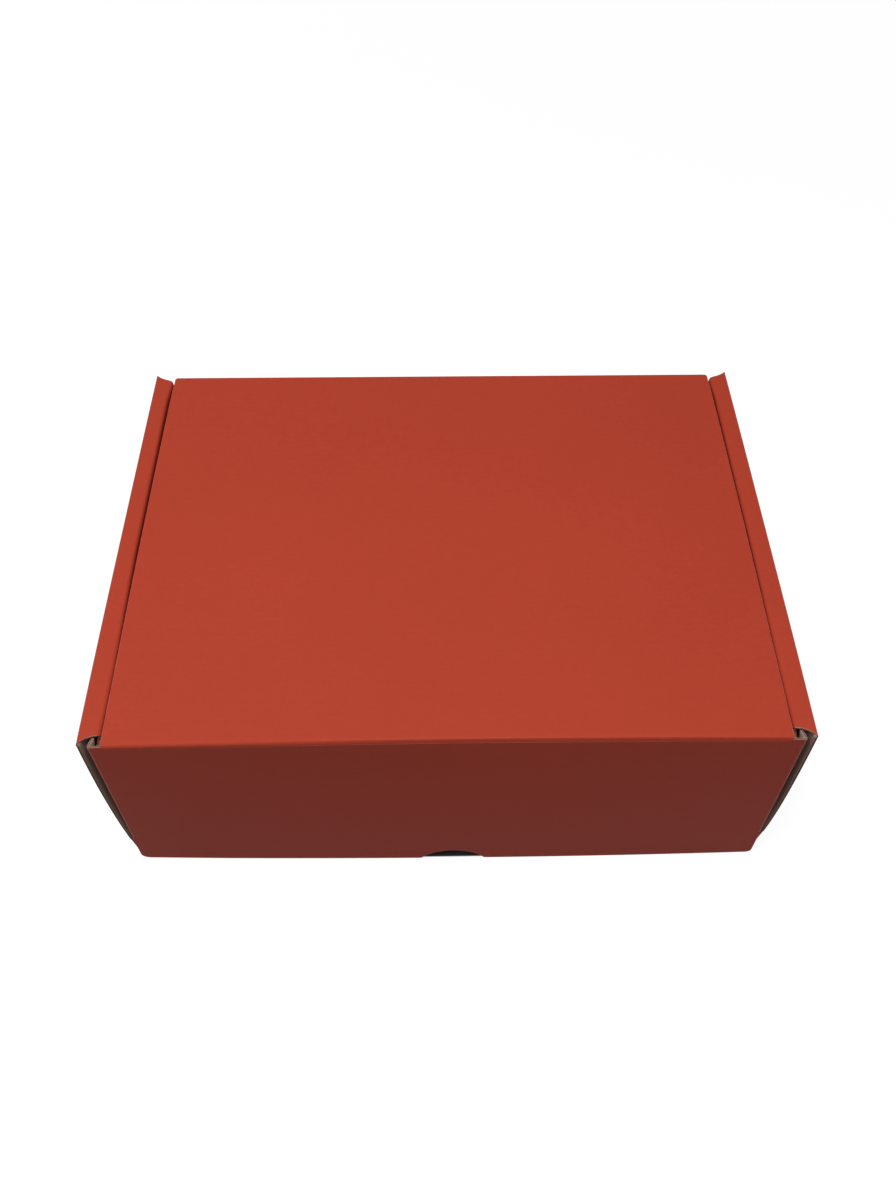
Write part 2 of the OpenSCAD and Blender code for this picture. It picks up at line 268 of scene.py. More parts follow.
def finish_board(stock, name, body, nodes):
    """Makes the Blender object of a board or a strip of paper and hangs it on its body."""
    mesh = bpy.data.meshes.new(name)
    mesh.from_pydata(stock["points"], [], stock["faces"])
    for made in (red_print, kraft_liner, cut_liner, fluted_paper):
        mesh.materials.append(made)
    mesh.polygons.foreach_set("material_index", stock["paints"])
    mesh.polygons.foreach_set("use_smooth", [True] * len(mesh.polygons))
    for key in ("across", "rim", "crease"):
        mesh.attributes.new(key, "FLOAT", "POINT").data.foreach_set("value", stock[key])
    mesh.validate()
    mesh.set_sharp_from_angle(angle=math.radians(SHARP_ANGLE))
    mesh.update()
    piece = bpy.data.objects.new(name, mesh)
    bpy.context.scene.collection.objects.link(piece)
    if body:
        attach(piece, body)
    if nodes:
        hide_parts(*nodes)
    return piece


def make_board(name, body, nodes, patches, folds, lay, creases=(), phase=0.0, joins=(),
               outer_edge=CUT_EDGE):
    """A panel of corrugated board: outer liner, flutes and inner liner, each with its edges."""
    stock = new_stock()
    half, wave = BOARD / 2, BOARD / 2 - LINER - MEDIUM / 2
    coarse = [(stations(a, b, breaks, ROW_STEP), spans) for a, b, breaks, spans in patches]
    fine = [(stations(a, b, breaks, FLUTE / FLUTE_STEPS), spans) for a, b, breaks, spans in patches]

    def middle(q):
        return wave * math.cos(2 * math.pi * (q - phase) / FLUTE)

    sheet_of_paper(stock, coarse, folds, EDGE_ROWS, lay, lambda q: half - LINER, lambda q: half,
                   (RED_FACE, KRAFT_FACE, outer_edge), creases, joins)
    sheet_of_paper(stock, coarse, folds, EDGE_ROWS, lay, lambda q: -half, lambda q: LINER - half,
                   (KRAFT_FACE, KRAFT_FACE, CUT_EDGE), creases, joins)
    sheet_of_paper(stock, fine, folds, (), lay, lambda q: middle(q) - MEDIUM / 2,
                   lambda q: middle(q) + MEDIUM / 2, (FLUTED, FLUTED, outer_edge), creases, joins)
    finish_board(stock, name, body, nodes)


front_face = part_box("front_wall")[0].y
back_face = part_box("back_wall")[1].y
base_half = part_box("base")[1].x
slot_in, slot_out = SLOT_X - SLOT_W / 2, SLOT_X + SLOT_W / 2


def grid(step, count):
    """Evenly spaced places on both sides of a panel's middle."""
    return [i * step for i in range(-count, count + 1)]


def base_spans(slotted):
    spans = [(-base_half, -slot_out), (-slot_in, slot_in), (slot_out, base_half)]
    if not slotted:
        spans += [(-slot_out, -slot_in), (slot_in, slot_out)]
    return lambda q: spans


base_start, base_end = front_face + FOLD_OUT, back_face - FOLD_OUT
cuts = [base_start]
for middle in TAB_MIDDLES:
    cuts += [middle - SLOT_L / 2, middle + SLOT_L / 2]
cuts.append(base_end)
make_board("base_board", "root", ["base"],
           [(a, b, [], base_spans(i % 2 == 1)) for i, (a, b) in enumerate(zip(cuts, cuts[1:]))],
           grid(BASE_GRID, 7),
           lambda p, q: (Vector((p, q, BOARD / 2)), Vector((0, 0, -1))),
           joins=[(1, base_start, *WHOLE), (1, base_end, *WHOLE),
                  (0, -base_half, *WHOLE), (0, base_half, *WHOLE)])

# The front and back walls fold up from the base. Their creases run along the flutes, and
# each wall stands in the box's full width with its print outwards.
wall_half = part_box("front_wall")[1].x
rim_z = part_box("front_wall")[1].z
FRONT_SAG = 0.0006
FRONT_BACK = 0.0005
PRESSED_FROM, PRESSED_FULL, PRESSED_LEAST = -0.06, 0.06, 0.5
PRESSED_END, PRESSED_FADE = 0.21, 0.10
WALL_CORNER = 0.0045
WALL_GRID = 0.018


def fold(a, b, r, start, end):
    """Middle of the board round a crease: places and facings, in degrees, as it bends."""
    turn = [math.radians(start + (end - start) * i / FOLD_STEPS) for i in range(FOLD_STEPS + 1)]
    return [(a + r * math.cos(t), b + r * math.sin(t), t, 1.0) for t in turn]


def trace(line):
    """Lengths along a bent board, and its place and facing at any length."""
    lengths = [0.0]
    for here, there in zip(line, line[1:]):
        lengths.append(lengths[-1] + math.hypot(there[0] - here[0], there[1] - here[1]))

    def at(s):
        i = min(max(bisect_right(lengths, s) - 1, 0), len(line) - 2)
        t = (s - lengths[i]) / (lengths[i + 1] - lengths[i])
        return [u + (v - u) * t for u, v in zip(line[i], line[i + 1])]

    return lengths, at


def ramp(value, start, reach):
    """0 up to the start, 1 from a reach beyond it, and even between."""
    return min(max((value - start) / reach, 0.0), 1.0)


def pressed_in(x):
    """How far the top of the front has given way, in its middle and along its right."""
    right = PRESSED_LEAST + (1 - PRESSED_LEAST) * ramp(x, PRESSED_FROM, PRESSED_FULL)
    right *= min((PRESSED_END - x) / PRESSED_FADE, 1.0)
    return FRONT_SAG * max(0.0, 1 - (x / wall_half) ** 2) + FRONT_BACK * right


def sag(x, z):
    """How far the front wall leans in at a point."""
    return pressed_in(x) * min(1.0, z / rim_z) ** 2


for name, face, turn in (("front_wall", front_face, 1), ("back_wall", back_face, -1)):
    profile = fold(face + turn * FOLD_OUT, FOLD_OUT, CREASE_R, -90, -90 - turn * 90)
    profile.append((face + turn * BOARD / 2, rim_z, profile[-1][2], 1.0))
    lengths, at = trace(profile)

    def lay_wall(p, q, at=at, turn=turn):
        y, z, facing, _ = at(q)
        give = sag(p, z) if turn > 0 else 0.0
        return Vector((p, y + give, z)), Vector((0, math.cos(facing), math.sin(facing)))

    def wall_spans(q, top=lengths[-1]):
        half = wall_half - max(0.0, q - (top - WALL_CORNER))
        return [(-half, half)]

    upright = lengths[-1] - lengths[-2]
    breaks = lengths[1:-1] + [lengths[-2] + 0.2 * i * upright for i in range(1, 5)]
    breaks.append(lengths[-1] - WALL_CORNER)
    make_board(name + "_board", "root", [name],
               [(0.0, lengths[-1], breaks, wall_spans)], grid(WALL_GRID, 8), lay_wall,
               joins=[(1, 0.0, *WHOLE), (0, -wall_half, *WHOLE), (0, wall_half, *WHOLE)])

# The ears of the front and back walls are folded back along the sides of the box and lie
# between the two layers of the side walls. The flutes run along them, round the crease.
EAR_CORNER = 0.012
EAR_TAPER = 0.018
EAR_HELD = 0.01
SIDE_BOW = (0.0013, 0.0008)
BOW_FROM, BOW_FULL, BOW_FADE = -0.095, 0.10, 0.02


def side_bow(y, z, sign):
    """How far the upper middle of a side gives outwards, between the stiff corners."""
    along = ramp(y, BOW_FROM, BOW_FULL) * ramp(back_face - y, 0.0, BOW_FADE)
    return SIDE_BOW[sign > 0] * along * along * (3 - 2 * along) * min(1.0, z / rim_z)


def end_cut(q, low, high, size):
    """Length that a corner cut takes off an ear's free end at height q."""
    return max(0.0, size - (q - low), size - (high - q))


for name, face, turn in (("front_wall_ear", front_face, 1), ("back_wall_ear", back_face, -1)):
    for side, sign in (("left", -1), ("right", 1)):
        node = f"{name}_{side}"
        low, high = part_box(node)
        start_y = face + turn * FOLD_OUT
        end_y = high.y if turn > 0 else low.y
        flat_x = max(abs(low.x), abs(high.x)) - BOARD / 2
        profile = fold(wall_half, start_y, CREASE_R, -turn * 90, 0)
        profile.append((flat_x, end_y, 0.0, 1.0))
        lengths, at = trace(profile)

        def lay_ear(p, q, at=at, sign=sign, turn=turn):
            x, y, facing, _ = at(p)
            near = 1 - ramp(y, front_face, EAR_HELD) if turn > 0 else 0.0
            y_held = y + near * sag(sign * wall_half, q)
            return (Vector((sign * (x + side_bow(y, q, sign)), y_held, q)),
                    Vector((sign * math.cos(facing), math.sin(facing), 0)))

        def ear_spans(q, low=low.z, high=high.z, end=lengths[-1]):
            start = EAR_TAPER * max(0.0, 1 - (high - q) / WALL_CORNER)
            return [(start, end - end_cut(q, low, high, EAR_CORNER))]

        breaks = [low.z + EAR_CORNER, high.z - EAR_CORNER, high.z - WALL_CORNER]
        make_board(node + "_board", "root", [node],
                   [(low.z, high.z, breaks, ear_spans)], lengths[1:-1], lay_ear,
                   joins=[(0, 0.0, *WHOLE)])

# Each side wall is one run of board: up from the base as the outer layer, over the top as
# the roll-over strip, and down again as the inner layer, whose tabs lock in the base.
# It leans out and bows, and the ends of its top crease are drawn in by hand pressure.
WALL_STEPS = 24
WALL_LEAN = 0.0048
WALL_CURVE = (3.05, 4.2)
ROLL_R = 0.0012
ROLL_TILT = 3.4
ROLL_FOLD_R = 0.0009
ROLL_FOLD_THICK = 0.67
ROLL_CUTS = (0.0045, 0.0037)
ROLL_SLANT = 0.0014
ROLL_LEAD, ROLL_LEAD_DROP = 0.0013, 0.00025
ROLL_WIDE = 0.0085
ROLL_CREASE_KEPT = 0.0003
CUT_CURVE = 2.2
RELIEF_D = 0.0004
RELIEF_LOW = 0.0172
RELIEF_H = 0.003
TAB_HALF = 0.018
TAB_SLANT = 0.002
TAB_FOOT = 0.0003
DRAWN_IN = ((0.0004, 0.0001), (0.0004, 0.00015))
DRAWN_FRONT, DRAWN_REAR = (-0.03, 0.083), (0.045, 0.071)
INNER_FOLDS = [0.02, 0.05, 0.08]
WALL_SHORT, RIM_INSET = 0.00001, 0.00008
FACING_STEP = 0.001
ROLL_END_ROW, BOW_ROW = 0.0005, 0.005
wall_low, wall_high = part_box("side_wall_right")
roll_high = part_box("roll_over_right")[1]
inner_low, inner_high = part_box("inner_side_wall_right")
wall_top = wall_high.z - WALL_SHORT
rim_x = wall_high.x - RIM_INSET
wall_base_x = rim_x - WALL_LEAN


def wall_middle(z, curve):
    return wall_base_x - BOARD / 2 + WALL_LEAN * (1 - (1 - ramp(z, 0.0, wall_top)) ** curve)


def wall_facing(z, curve):
    low, high = max(z - FACING_STEP, 0.0), min(z + FACING_STEP, wall_top)
    return -math.degrees(math.atan2(wall_middle(high, curve) - wall_middle(low, curve), high - low))


def wall_line(curve):
    """Middle of a side wall's outer layer, from the edge of the base up to its top."""
    lean = wall_facing(0, curve)
    bottom_z = BOARD / 2 + CREASE_R * (1 + math.sin(math.radians(lean)))
    bottom_x = wall_middle(bottom_z, curve) - CREASE_R * math.cos(math.radians(lean))
    line = [(base_half, BOARD / 2, math.radians(-90), 1.0)]
    line += fold(bottom_x, FOLD_OUT, CREASE_R, -90, lean)
    for i in range(1, WALL_STEPS + 1):
        z = bottom_z + (wall_top - bottom_z) * i / WALL_STEPS
        line.append((wall_middle(z, curve), z, math.radians(wall_facing(z, curve)), 1.0))
    return line


def drawn_in(y, z, side):
    """How far a side wall's top is drawn in towards its two ends."""
    front, rear = DRAWN_IN[side]
    pull = front * max(0.0, (DRAWN_FRONT[0] - y) / DRAWN_FRONT[1]) ** 2
    pull += rear * max(0.0, (y - DRAWN_REAR[0]) / DRAWN_REAR[1]) ** 2
    return pull * min(1.0, z / wall_top) ** 6


tilt = math.radians(ROLL_TILT)
top_r = ROLL_FOLD_R - ROLL_FOLD_THICK * BOARD / 2
top_x = rim_x - ROLL_FOLD_R
top_z = roll_high.z - ROLL_FOLD_R
roll_x = inner_low.x + BOARD / 2 + ROLL_R
roll_width = top_x - ROLL_FOLD_R * math.sin(tilt) - roll_x
roll_top = top_z + ROLL_FOLD_R * math.cos(tilt) - roll_width * math.tan(tilt)
roll_z = roll_top - (ROLL_R + BOARD / 2) / math.cos(tilt)
roll_line = [(rim_x - BOARD / 2, wall_top, 0.0, 1.0)]
roll_line += [(a, b, t, ROLL_FOLD_THICK)
              for a, b, t, _ in fold(top_x, top_z, top_r, -3, 90 + ROLL_TILT)]
inner_round = fold(roll_x, roll_z, ROLL_R, 90 + ROLL_TILT, 180)
roll_line.append((roll_line[-1][0] - ROLL_LEAD,
                  roll_line[-1][1] - ROLL_LEAD_DROP - ROLL_LEAD * math.sin(tilt),
                  inner_round[0][2], 1.0))
roll_line += inner_round
roll_line.append((roll_x - ROLL_R, inner_high.z, math.pi, 1.0))


def roll_end(q, at, length):
    """Length of the roll-over at a place along it: its ends are cut, the last fifth slanted."""
    low, high = 0.0, length
    for _ in range(40):
        middle = (low + high) / 2
        x, _, facing, _ = at(middle)
        share = (rim_x - x - BOARD / 2 * math.cos(facing)) / (rim_x - inner_low.x)
        bend = 1 - (1 - ramp(share, 0.0, 1.0)) ** CUT_CURVE
        slant = ROLL_SLANT * max(0.0, 5 * middle / length - 4)
        inside = all(gap > cut * bend + slant for gap, cut in
                     ((q - wall_low.y, ROLL_CUTS[0]), (wall_high.y - q, ROLL_CUTS[1])))
        low, high = (middle, high) if inside else (low, middle)
    return high


def relief_start(q, lengths, line):
    """Length at which the outer layer starts, where its upright edges stand back at the base."""
    gap = min(q - wall_low.y, wall_high.y - q)
    if gap >= RELIEF_D - 1e-9:
        return 0.0
    z = RELIEF_LOW + RELIEF_H * (1 - gap / RELIEF_D)
    heights = [point[1] for point in line]
    i = next(k for k in range(len(heights) - 1) if heights[k + 1] > z)
    step = lengths[i + 1] - lengths[i]
    return lengths[i] + step * (z - heights[i]) / (heights[i + 1] - heights[i])


def inner_start(q):
    """Height of the inner layer's lower edge: its chamfered corners and its two tabs."""
    foot = BOARD + max(0.0, BOARD - (q - inner_low.y), BOARD - (inner_high.y - q))
    for middle in TAB_MIDDLES:
        reach = ramp(TAB_HALF - abs(q - middle), 0.0, TAB_SLANT)
        foot = min(foot, BOARD - (BOARD - TAB_FOOT) * reach)
    return foot


wall_breaks = [wall_low.y + RELIEF_D * i / 4 for i in range(1, 5)]
wall_breaks += [wall_high.y - RELIEF_D * i / 4 for i in range(1, 5)]
roll_breaks = wall_breaks + [wall_low.y + ROLL_END_ROW * i for i in range(1, 15)]
roll_breaks += [wall_high.y - ROLL_END_ROW * i for i in range(1, 13)]
tab_breaks = [m + s * w for m in TAB_MIDDLES for s in (-1, 1)
              for w in (TAB_HALF, TAB_HALF - TAB_SLANT)]
tab_breaks += [inner_low.y + BOARD, inner_high.y - BOARD]
bow_rows = [inner_low.y + BOW_ROW * i for i in range(1, 45)]
roll_lengths, roll_at = trace(roll_line)
for number, (side, sign) in enumerate((("left", -1), ("right", 1))):
    outer_line = wall_line(WALL_CURVE[number])
    outer_lengths, outer_at = trace(outer_line)

    def lay_side(at):
        def lay(p, q, sign=sign, number=number):
            x, z, facing, thick = at(p)
            out = ramp(x - inner_low.x, BOARD / 2, ROLL_WIDE)
            x += side_bow(q, z, sign) * (1 - out) - drawn_in(q, z, number) * out
            return (Vector((sign * x, q, z)),
                    Vector((sign * math.cos(facing), 0, math.sin(facing))), thick)
        return lay

    def lay_inner(p, q, sign=sign):
        return (Vector((sign * (inner_low.x + BOARD / 2 + side_bow(q, p, sign)), q, p)),
                Vector((-sign, 0, 0)))

    def outer_spans(q, lengths=outer_lengths, line=outer_line):
        return [(relief_start(q, lengths, line), lengths[-1])]

    # The side walls take the dark fluted paper on the cut rims of their outer liner and flutes, so
    # their front edges show a thin dark line.
    make_board(f"side_wall_{side}_board", "root", [f"side_wall_{side}"],
               [(wall_low.y, wall_high.y, wall_breaks, outer_spans)],
               outer_lengths[1:-1], lay_side(outer_at), phase=wall_low.y + FLUTE / 2,
               joins=[(0, 0.0, *WHOLE), (0, outer_lengths[-1], *WHOLE)], outer_edge=FLUTED)
    # The roll-over's top fold turns paler along its ridge, partly from rubbing and partly as a
    # painted highlight.
    make_board(f"roll_over_{side}_board", "root", [f"roll_over_{side}"],
               [(wall_low.y + 1e-5, wall_high.y - 1e-5, roll_breaks + bow_rows,
                 lambda q: [(0.0, roll_end(q, roll_at, roll_lengths[-1]))])],
               roll_lengths[1:-1], lay_side(roll_at),
               creases=[(roll_lengths[1 + FOLD_STEPS // 2], ROLL_CREASE_KEPT)],
               phase=wall_low.y + FLUTE / 2,
               joins=[(0, 0.0, *WHOLE), (0, roll_lengths[-1], *WHOLE)])
    make_board(f"inner_side_wall_{side}_board", "root", [f"inner_side_wall_{side}"],
               [(inner_low.y, inner_high.y, tab_breaks + bow_rows,
                 lambda q: [(inner_start(q), inner_high.z)])],
               INNER_FOLDS, lay_inner, joins=[(0, inner_high.z, *WHOLE)])

# The lid hangs on the back wall and closes the top between the two roll-overs. Its sides
# are let in where the dust flaps fold down, and its front edge lifts a little in the middle.
LID_LIFT = 0.0006
LID_BOW = 0.00038
LID_CORNER = 0.0012
FRONT_CORNER = 0.0008
LID_INSET = 0.0004
LID_STIFF_Y = -0.05
LID_WAVE, WAVES, WAVE_SEED = 0.00008, 14, 3.1
LID_GRID = 0.012
LID_EDGE_ROW, LID_FRONT_ROW = 0.0001, 0.004
SLIP = 0.0003
lid_low, lid_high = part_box("lid")
dust_low, dust_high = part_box("dust_flap_right")
lid_half = lid_high.x
notch_half = dust_low.x - SLIP
lid_hinge_y = back_face - BOARD / 2
lid_mid_z = lid_high.z - BOARD / 2


def lid_give(x, y):
    """Lift of the lid, most in the middle of its front, and how far the front is pressed in."""
    across = max(0.0, 1 - (x / lid_half) ** 2)
    near = ramp(LID_STIFF_Y - y, 0.0, LID_STIFF_Y - lid_low.y)
    wave = LID_WAVE * noise.noise(Vector((x * WAVES, y * WAVES, WAVE_SEED)))
    lift = LID_LIFT * across * near ** 2 + wave * min(1.0, 4 * across)
    return lift, pressed_in(x) * near ** 6


def lid_bow(y):
    """How far the lid's sides stand out beyond its corners."""
    return LID_BOW * max(0.0, 1 - (y / back_face) ** 2)


def lay_lid(p, q):
    lift, push = lid_give(p, q)
    return (Vector((p * (1 + lid_bow(q) / lid_half), q + push, lid_mid_z + lift)),
            Vector((0, 0, 1)))


def lid_end_spans(q):
    half = lid_half - max(LID_INSET, LID_CORNER - (lid_hinge_y - q),
                          FRONT_CORNER - 2 * (q - lid_low.y))
    return [(-half, -notch_half), (-notch_half, notch_half), (notch_half, half)]


lid_rows = [lid_low.y + LID_EDGE_ROW * i for i in range(1, 5)]
lid_rows += [lid_low.y + LID_FRONT_ROW * i for i in range(1, 8)]
make_board("lid_board", "lid", ["lid"],
           [(lid_low.y, dust_low.y - SLIP, lid_rows, lid_end_spans),
            (dust_low.y - SLIP, dust_high.y + SLIP, lid_rows,
             lambda q: [(-notch_half, notch_half)]),
            (dust_high.y + SLIP, lid_hinge_y, [lid_hinge_y - LID_CORNER], lid_end_spans)],
           grid(LID_GRID, 12), lay_lid,
           joins=[(1, lid_low.y, *WHOLE), (1, lid_hinge_y, *WHOLE),
                  (0, -notch_half, *WHOLE), (0, notch_half, *WHOLE),
                  (1, dust_low.y - SLIP, *WHOLE), (1, dust_high.y + SLIP, *WHOLE)])

# The dust flaps hang from the sides of the lid, just inside the inner side walls, and guide
# it as it shuts. Their ends taper and their lower corners are round.
DUST_TAPER = 15.0
DUST_CORNER = 0.006
DUST_ROUND_FROM = 0.75
TAPER_ROWS = (0.0005, 0.019, 26)
DUST_FOLD = 0.008


def dust_length(q, at, length):
    """Length of a dust flap at a place along the lid, inside its tapered, rounded outline."""
    slope = math.tan(math.radians(DUST_TAPER))
    gap = min(q - dust_low.y, dust_high.y - q)
    reach = (dust_high.z - dust_low.z) * slope
    centre = reach + DUST_CORNER
    edge = dust_high.z - gap / slope
    if gap >= centre:
        z = dust_low.z
    else:
        rise = math.sqrt(max(0.0, DUST_CORNER ** 2 - (centre - gap) ** 2))
        rounded = gap > reach * DUST_ROUND_FROM
        z = max(edge, dust_low.z + DUST_CORNER - rise) if rounded else edge
    return min(length, max(0.0, length - (z - dust_low.z)))


crease_top = dust_high.z - BOARD
taper_gaps = np.linspace(*TAPER_ROWS)
for side, sign in (("left", -1), ("right", 1)):
    profile = fold(dust_low.x, crease_top, BOARD / 2, 90, 0)
    profile.append((dust_low.x + BOARD / 2, dust_low.z, 0.0, 1.0))
    lengths, at = trace(profile)

    def lay_dust(p, q, at=at, sign=sign):
        x, z, facing, _ = at(p)
        return (Vector((sign * (x + lid_bow(q)), q, z)),
                Vector((sign * math.cos(facing), 0, math.sin(facing))))

    breaks = [dust_low.y + g for g in taper_gaps] + [dust_high.y - g for g in taper_gaps]
    make_board(f"dust_flap_{side}_board", f"dust_flap_{side}", [f"dust_flap_{side}"],
               [(dust_low.y, dust_high.y, breaks,
                 lambda q, at=at, end=lengths[-1]: [(0.0, dust_length(q, at, end))])],
               lengths[1:-1] + [lengths[-2] + DUST_FOLD * i for i in range(1, 5)], lay_dust,
               joins=[(0, 0.0, *WHOLE)])

# The front flap hangs from the lid's front edge, outside the front wall. It bows forward at
# its lower edge, which has round corners and a shallow notch for the thumb.
FLAP_BOW = 0.00196
FLAP_BOW_X = 0.017
FLAP_DROPS = ((0.0003, -0.14, 0.03), (0.00052, -0.07, 0.17))
CORNER_LIFT, CORNER_LIFT_Z, CORNER_LIFT_X = 0.0004, 0.002, 0.0022
FLAP_GRID = 0.012
CORNER_COLUMN, COLUMN_STEP = 0.1402, 0.0011
FLAP_SHORT = 0.0012
FOOT_ROW, TOP_ROWS = 0.001, (0.004, 0.008)
FLAP_CORNERS = (0.004, 0.0027)
NOTCH_W = 0.031
NOTCH_H = 0.0080
NOTCH_X = 0.0025
flap_low, flap_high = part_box("front_flap")
ear_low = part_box("flap_ear_right")[0]
flap_half = flap_high.x
flat_half = flap_half - FOLD_OUT
lid_edge = lid_half - FRONT_CORNER
flap_y = ear_low.y + BOARD / 2
hinge_z = lid_mid_z
flap_top = hinge_z - FLAP_SHORT
notch_r = (NOTCH_W ** 2 / 4 + NOTCH_H ** 2) / (2 * NOTCH_H)


def flap_bow(x, z):
    """How far the flap stands forward of its plane at a point, most right of its middle."""
    drop = (hinge_z - z) / (hinge_z - flap_low.z)
    bow = FLAP_BOW * max(0.0, 1 - ((x - FLAP_BOW_X) / (flat_half + FLAP_BOW_X)) ** 2) * drop
    return bow - pressed_in(x) * min(1.0, z / hinge_z) ** 3


def flap_lift(x, z):
    """How far the flap's points ride up with the lid's edge, or hang low on its right."""
    low = sum(drop * ramp(x, start, reach) for drop, start, reach in FLAP_DROPS)
    low *= (hinge_z - z) / (hinge_z - flap_low.z)
    top = max(0.0, 1 - (hinge_z - z) / CORNER_LIFT_Z)
    top *= max(0.0, 1 - abs(abs(x) - lid_edge) / CORNER_LIFT_X)
    with_lid = LID_LIFT * max(0.0, 1 - (x / lid_half) ** 2) * (z / hinge_z) ** 4
    return with_lid - low + CORNER_LIFT * top


def lay_flap(p, q):
    return (Vector((p, flap_y - flap_bow(p, q), q + flap_lift(p, q))),
            Vector((0, -1, 0)))


def flap_spans(q):
    height = q - flap_low.z
    halves = []
    for corner in FLAP_CORNERS:
        missing = max(0.0, corner - height)
        halves.append(flap_half - corner + math.sqrt(corner ** 2 - missing ** 2))
    thumb = 0.0
    if height < NOTCH_H:
        thumb = math.sqrt(max(0.0, notch_r ** 2 - (notch_r - NOTCH_H + height) ** 2))
    left, right = halves
    return [(-min(left, flat_half), NOTCH_X - thumb), (NOTCH_X + thumb, min(right, flat_half)),
            (-max(left, flat_half), -flat_half), (flat_half, max(right, flat_half))]


corner_rows = [flap_low.z + corner * (1 - math.cos(math.radians(9 * i)))
               for corner in FLAP_CORNERS for i in range(1, 11)]
notch_rows = [flap_low.z + NOTCH_H * (1 - (1 - i / 10) ** 2) for i in range(1, 10)]
flap_folds = grid(FLAP_GRID, 11)
flap_folds += [s * (CORNER_COLUMN + COLUMN_STEP * i) for s in (-1, 1) for i in range(7)]
flap_folds += [NOTCH_X - NOTCH_W / 2, NOTCH_X, NOTCH_X + NOTCH_W / 2, -lid_edge, lid_edge]
flap_folds += [at + s * gap for at in (-lid_edge, NOTCH_X, lid_edge)
               for gap in EDGE_ROWS for s in (-1, 1)]
make_board("front_flap_board", "front_flap", ["front_flap"],
           [(flap_low.z, flap_low.z + NOTCH_H, corner_rows + notch_rows, flap_spans),
            (flap_low.z + NOTCH_H, ear_low.z, [], flap_spans),
            (ear_low.z, flap_top, [ear_low.z + FOOT_ROW, *(flap_top - row for row in TOP_ROWS)],
             lambda q: [(-flat_half, -lid_edge), (-lid_edge, lid_edge), (lid_edge, flat_half)]),
            (flap_top, hinge_z, [], lambda q: [(-flat_half, -lid_edge), (lid_edge, flat_half)])],
           flap_folds, lay_flap,
           joins=[(0, -flat_half, ear_low.z, 1), (0, flat_half, ear_low.z, 1),
                  (1, flap_top, -lid_edge, lid_edge)], phase=hinge_z - FLUTE / 4)

# The ears of the front flap fold back into the hollow ends of the side walls and hold the
# flap shut. Their rear edge is an arc, so that they swing up past the ends of the roll-overs.
EAR_FOOT_CUT = 0.005
EAR_GAP = 0.00035
EAR_FOLD_R = 0.0009
EAR_FOLD_THICK = 0.67
EAR_CURL = 0.0013
CURL_LOW, CURL_RISE = 0.1025, 0.005
CURL_FROM, CURL_REACH, CURL_MOST = 0.001, 0.004, 1.4
EAR_BOW_HELD = 0.006
EAR_LEAD = 0.0012
ROLL_END_SETBACK = 0.0005
CURL_ROWS = (0.0006, 0.0012, 0.0018)
roll_share = (rim_x - flap_half) / (rim_x - inner_low.x)
roll_cut = ROLL_CUTS[0] * (1 - (1 - roll_share) ** CUT_CURVE)
swing = lid_hinge_y - (wall_low.y + ROLL_END_SETBACK + roll_cut) + EAR_GAP
for side, sign in (("left", -1), ("right", 1)):
    profile = [(flat_half, flap_y, math.radians(-90), 1.0)]
    for a, b, turned, _ in fold(flap_half - EAR_FOLD_R, ear_low.y + EAR_FOLD_R,
                                EAR_FOLD_R - EAR_FOLD_THICK * BOARD / 2, -90, 0):
        profile.append((a, b, turned, EAR_FOLD_THICK))
    profile.append((flap_half - BOARD / 2, profile[-1][1] + EAR_LEAD, 0.0, 1.0))
    profile.append((flap_half - BOARD / 2, 0.0, 0.0, 1.0))
    lengths, at = trace(profile)

    def lay_flap_ear(p, q, at=at, sign=sign):
        x, y, facing, thick = at(p)
        high = ramp(q, CURL_LOW, CURL_RISE)
        back = min(max((y - ear_low.y - CURL_FROM) / CURL_REACH, 0.0), CURL_MOST)
        x -= EAR_CURL * high * back ** 2
        ahead = flap_bow(sign * flat_half, q)
        ahead *= 1.0 if ahead > 0 else 1 - ramp(y, ear_low.y, EAR_BOW_HELD)
        return (Vector((sign * x, y - ahead, q + flap_lift(sign * x, q))),
                Vector((sign * math.cos(facing), math.sin(facing), 0)), thick)

    def ear_end(q, start=lengths[-2], y0=profile[-2][1]):
        rear = lid_hinge_y - math.sqrt(swing ** 2 - (hinge_z - q) ** 2)
        cut = max(0.0, EAR_FOOT_CUT - (q - ear_low.z))
        return [(0.0, start + rear - cut - y0)]

    # Each ear's fold carries a pale line along its ridge, partly from rubbing and partly as a
    # painted highlight.
    make_board(f"flap_ear_{side}_board", "front_flap", [f"flap_ear_{side}"],
               [(ear_low.z, hinge_z, [ear_low.z + EAR_FOOT_CUT, CURL_LOW], ear_end)],
               lengths[1:-1] + [lengths[-2] + row for row in CURL_ROWS],
               lay_flap_ear, creases=[(lengths[1 + FOLD_STEPS // 2], 0.0)],
               phase=hinge_z - FLUTE / 4, joins=[(0, 0.0, *WHOLE)])

# The hinge creases are strips of the printed outer liner, which runs on unbroken from the back
# wall to the lid, over its front edge to the flap and down to the dust flaps; they hang on no body.
SKIN_PROUD = 0.00001
SKIN_ROWS = 0.01
NEAR = 1e-7
FRONT_LEADS, REAR_LEADS, SIDE_LEADS = (0.0012, 0.0032), (0.0006, 0.0032), (0.0007, 0.0030)
# Where the pale line runs across each hinge skin and how faint it is: partly rubbing, partly a
# painted highlight.
FRONT_RUB_AND_HIGHLIGHT, REAR_RUB_AND_HIGHLIGHT, SIDE_RUB_AND_HIGHLIGHT = (0.42, 0.00045), (0.5, 0.0003), (0.45, 0.00025)
BEVEL_SPAN = (-0.10, 0.08)
BEVEL_FLATTER, BEVEL_TALLER = 0.0008, 0.00025
ROUND_POWER, POWER_LOSS = 1.7, 0.5
REAR_BLEND, SIDE_BLEND = 0.0003, 0.0014
SIDE_GIVE_AT = 0.98


